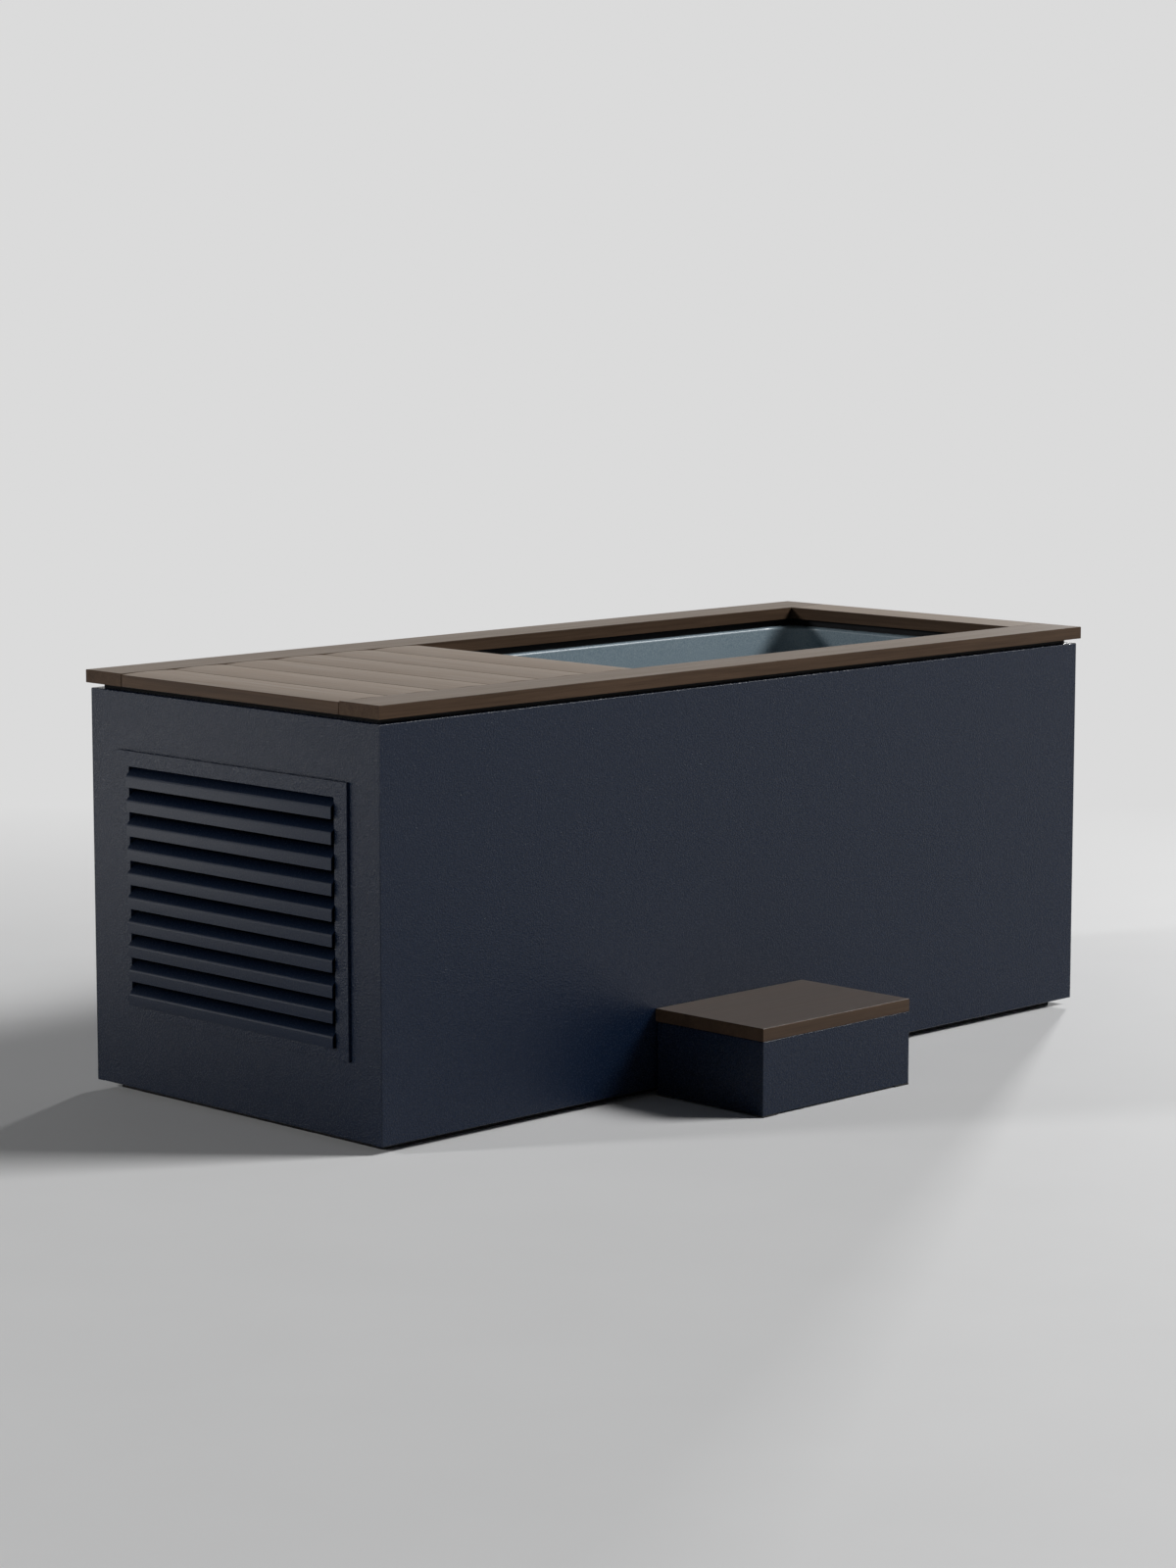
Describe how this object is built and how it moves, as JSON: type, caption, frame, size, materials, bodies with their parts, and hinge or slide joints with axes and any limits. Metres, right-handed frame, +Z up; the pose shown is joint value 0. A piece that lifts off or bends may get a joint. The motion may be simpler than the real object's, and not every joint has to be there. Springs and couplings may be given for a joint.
{
  "type": "cold plunge tub",
  "caption": "Rectangular cold plunge tub in a dark steel case with a louvred equipment bay, wood rim, hinged wood deck and a separate step in front.",
  "frame": {"origin": "centre of the base's underside, on the floor", "axes": "+X from the louvre end to the tub end, +Y from the front, where the step stands, to the rear, +Z up"},
  "size_m": [2.0205, 1.1315, 0.819],
  "materials": {
    "navy_powder_coat": "fine textured powder coat, semi-gloss",
    "taupe_wood": "oiled fine-grained boards",
    "black_plastic": "matt black",
    "liner_blue_grey": "speckled semi-gloss",
    "foam": "sprayed foam",
    "zinc_steel": "zinc plated",
    "fin_aluminium": "bare fins",
    "copper": "bare copper",
    "black_rubber": "matt",
    "machine_grey": "painted castings",
    "machine_black": "black enamel",
    "white_plastic": "moulded",
    "pvc_grey": "moulded fittings",
    "filter_paper": "pleated"
  },
  "bodies": {
    "case": {"front_panel": "navy_powder_coat", "rear_panel": "navy_powder_coat", "louvre_end_panel": "navy_powder_coat", "plain_end_panel": "navy_powder_coat", "louvre_frame": "navy_powder_coat", "louvre_blades": "navy_powder_coat", "rim_front_rail": "taupe_wood", "rim_rear_rail": "taupe_wood", "rim_end_rail": "taupe_wood", "base_pan": "black_plastic", "rim_spacer": "black_plastic", "switch_bezel": "black_plastic", "cable_gland": "black_plastic", "fan_shroud": "black_plastic", "tub_liner": "liner_blue_grey", "insulation": "foam", "frame_posts": "zinc_steel", "frame_base_rails": "zinc_steel", "frame_top_rails": "zinc_steel", "bulkhead": "zinc_steel", "chiller_tray": "zinc_steel", "hinge_base_leaves": "zinc_steel", "hinge_pins": "zinc_steel", "heat_exchanger": "zinc_steel", "condenser_coil": "fin_aluminium", "refrigerant_lines": "copper", "compressor_mounts": "black_rubber", "fan_motor": "machine_grey", "pump_motor": "machine_grey", "compressor": "machine_black", "filter_housing": "white_plastic", "control_box": "white_plastic", "control_box_lid": "white_plastic", "pump_volute": "pvc_grey", "suction_fitting": "pvc_grey", "return_fitting": "pvc_grey", "drain_fitting": "pvc_grey", "drain_pipe": "pvc_grey", "drain_valve_body": "pvc_grey", "drain_port": "pvc_grey", "water_pipes": "pvc_grey", "filter_cartridge": "filter_paper"},
    "hatch": {"deck_board_1": "taupe_wood", "deck_board_2": "taupe_wood", "deck_board_3": "taupe_wood", "deck_board_4": "taupe_wood", "deck_board_5": "taupe_wood", "deck_board_6": "taupe_wood", "hatch_battens": "black_plastic", "hatch_screws": "zinc_steel", "hinge_deck_leaves": "zinc_steel"},
    "fan": {"fan_rotor": "machine_black"},
    "pump_rotor": {"pump_impeller": "white_plastic"},
    "filter_cap": {"filter_lid": "white_plastic"},
    "drain_lever": {"drain_valve_lever": "pvc_grey"},
    "rocker": {"power_switch": "black_plastic"},
    "step": {"step_box": "navy_powder_coat", "step_top": "taupe_wood", "step_pads": "black_rubber"}
  },
  "joints": [
    {"name": "hatch_hinge", "type": "hinge", "parent": "case", "child": "hatch", "pos_m": [-0.245, 0, 0.7895], "axis": [0, 1, 0], "range_deg": [0, 95]},
    {"name": "fan_spin", "type": "hinge", "parent": "case", "child": "fan", "pos_m": [-0.8865, 0, 0.272], "axis": [1, 0, 0], "continuous": true},
    {"name": "pump_spin", "type": "hinge", "parent": "case", "child": "pump_rotor", "pos_m": [-0.43, -0.08, 0.11], "axis": [0, 1, 0], "continuous": true},
    {"name": "filter_lid_turn", "type": "hinge", "parent": "case", "child": "filter_cap", "pos_m": [-0.48, 0.165, 0.42], "axis": [0, 0, 1], "range_deg": [0, 60]},
    {"name": "drain_valve_turn", "type": "hinge", "parent": "case", "child": "drain_lever", "pos_m": [-0.365, 0.3225, 0.133], "axis": [0, 0, -1], "range_deg": [0, 90]},
    {"name": "switch_rocker", "type": "hinge", "parent": "case", "child": "rocker", "pos_m": [-0.502, 0.409, 0.24], "axis": [1, 0, 0], "range_deg": [0, 16]},
    {"name": "step_slide", "type": "slide", "parent": "case", "child": "step", "axis": [0, -1, 0], "range_m": [0, 0.25]}
  ]
}
